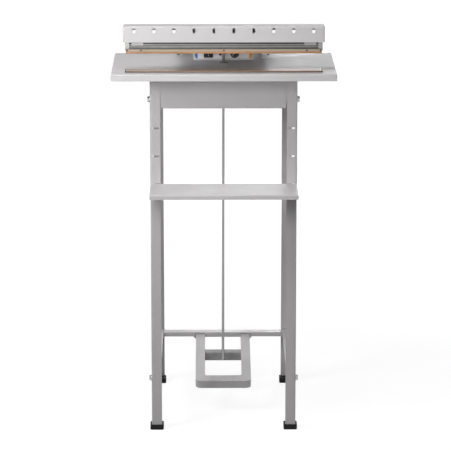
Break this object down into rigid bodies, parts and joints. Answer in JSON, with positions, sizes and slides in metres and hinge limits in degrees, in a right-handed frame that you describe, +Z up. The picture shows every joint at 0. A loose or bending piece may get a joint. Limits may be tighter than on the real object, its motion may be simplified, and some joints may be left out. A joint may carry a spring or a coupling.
{
  "type": "foot pedal heat sealer",
  "caption": "Free-standing impulse sealer: stand with a shelf, table with a fixed jaw, hinged arm with a slotted jaw cover, control console, and a foot pedal that closes the jaws by a rod.",
  "frame": {"origin": "on the floor under the middle of the object's box, between the legs", "axes": "+Z up, -Y towards the operator, +X to the operator's right"},
  "size_m": [0.572, 0.5806, 1.1006],
  "materials": {
    "painted_steel": "light warm grey enamel, slightly textured, semi-gloss",
    "zinc_steel": "zinc-plated, satin",
    "spring_steel": "drawn spring wire",
    "aluminium": "extruded, satin",
    "black_rubber": "matt moulded rubber",
    "black_plastic": "fine-grained moulded plastic",
    "release_cloth": "coated glass cloth, brown, slight sheen",
    "silicone_rubber": "smooth silicone strip",
    "insulating_laminate": "pressed laminate, tan",
    "heater_alloy": "rolled ribbon",
    "panel_white": "printed polycarbonate sheet, satin",
    "lamp_lens": "clear amber lens",
    "circuit_board": "green solder mask",
    "core_steel": "stacked and varnished steel sheets",
    "copper_winding": "enamelled copper wire"
  },
  "bodies": {
    "frame": {"leg_front_left": "painted_steel", "leg_front_right": "painted_steel", "leg_rear_left": "painted_steel", "leg_rear_right": "painted_steel", "boot_front_left": "black_rubber", "boot_front_right": "black_rubber", "boot_rear_left": "black_rubber", "boot_rear_right": "black_rubber", "apron_front": "painted_steel", "apron_rear": "painted_steel", "apron_left": "painted_steel", "apron_right": "painted_steel", "low_rail_left": "painted_steel", "low_rail_right": "painted_steel", "low_crossbar": "painted_steel", "shelf": "painted_steel", "table_top": "painted_steel", "rear_deck": "painted_steel", "rod_bush": "black_plastic", "lower_jaw_base": "aluminium", "lower_rubber": "silicone_rubber", "lower_cloth": "release_cloth", "hinge_bracket_left": "zinc_steel", "hinge_bracket_right": "zinc_steel", "return_spring_left": "spring_steel", "return_spring_right": "spring_steel", "console_shell": "painted_steel", "front_panel": "panel_white", "rocker_frame": "black_plastic", "pilot_lamp": "lamp_lens", "dial_body": "aluminium", "timer_board": "circuit_board", "cord_gland": "black_plastic", "micro_switch": "black_plastic", "transformer_core": "core_steel", "transformer_coil": "copper_winding"},
    "jaw_arm": {"arm_hood": "painted_steel", "hinge_pin": "zinc_steel", "jaw_cover": "painted_steel", "jaw_bar": "aluminium", "jaw_nose": "insulating_laminate", "heating_ribbon": "heater_alloy", "upper_cloth": "release_cloth", "clamp_front": "insulating_laminate", "clamp_rear": "insulating_laminate", "jaw_end_left": "aluminium", "jaw_end_right": "aluminium", "rod_bracket": "zinc_steel"},
    "left_tensioner": {"tensioner_left": "aluminium"},
    "right_tensioner": {"tensioner_right": "aluminium"},
    "rod": {"pull_rod": "zinc_steel", "rod_clip_upper": "zinc_steel", "rod_clip_lower": "zinc_steel"},
    "pedal": {"pedal_frame": "painted_steel", "cross_plate": "painted_steel", "pedal_pin": "zinc_steel"},
    "rocker_key": {"rocker": "black_plastic"},
    "dial": {"dial_knob": "black_plastic"},
    "plunger": {"switch_plunger": "zinc_steel"}
  },
  "joints": [
    {"name": "arm_tilt", "type": "hinge", "parent": "frame", "child": "jaw_arm", "pos_m": [0, 0.245, 1.003], "axis": [1, 0, 0], "range_deg": [0, 4.95], "stiffness_Nm_per_rad": 130, "springref_deg": -14.32, "deforming": ["return_spring_left", "return_spring_right"]},
    {"name": "rod_swing", "type": "hinge", "parent": "jaw_arm", "child": "rod", "pos_m": [0, -0.11524, 1.03169], "axis": [1, 0, 0], "range_deg": [-4.3, 0]},
    {"name": "pedal_press", "type": "hinge", "parent": "frame", "child": "pedal", "pos_m": [0, 0.2725, 0.1345], "axis": [1, 0, 0], "range_deg": [0, 13.6]},
    {"name": "tensioner_left_slide", "type": "slide", "parent": "jaw_arm", "child": "left_tensioner", "axis": [-1, 0, 0], "range_m": [0, 0.003], "stiffness_N_per_m": 2000},
    {"name": "tensioner_right_slide", "type": "slide", "parent": "jaw_arm", "child": "right_tensioner", "axis": [1, 0, 0], "range_m": [0, 0.003], "stiffness_N_per_m": 2000},
    {"name": "rocker_tip", "type": "hinge", "parent": "frame", "child": "rocker_key", "pos_m": [-0.039, -0.0663, 0.99462], "axis": [1, 0, 0], "range_deg": [-16, 0]},
    {"name": "dial_turn", "type": "hinge", "parent": "frame", "child": "dial", "pos_m": [0.029, -0.0701, 0.99586], "axis": [0, 0.9511, -0.309], "range_deg": [0, 270]},
    {"name": "plunger_press", "type": "slide", "parent": "frame", "child": "plunger", "axis": [0, 0, -1], "range_m": [0, 0.0015], "stiffness_N_per_m": 300, "springref_m": -0.001}
  ],
  "couplings": [
    {"joint": "rod_swing", "follows": "arm_tilt", "ratio": -0.8583},
    {"joint": "pedal_press", "follows": "arm_tilt", "ratio": 2.74}
  ]
}
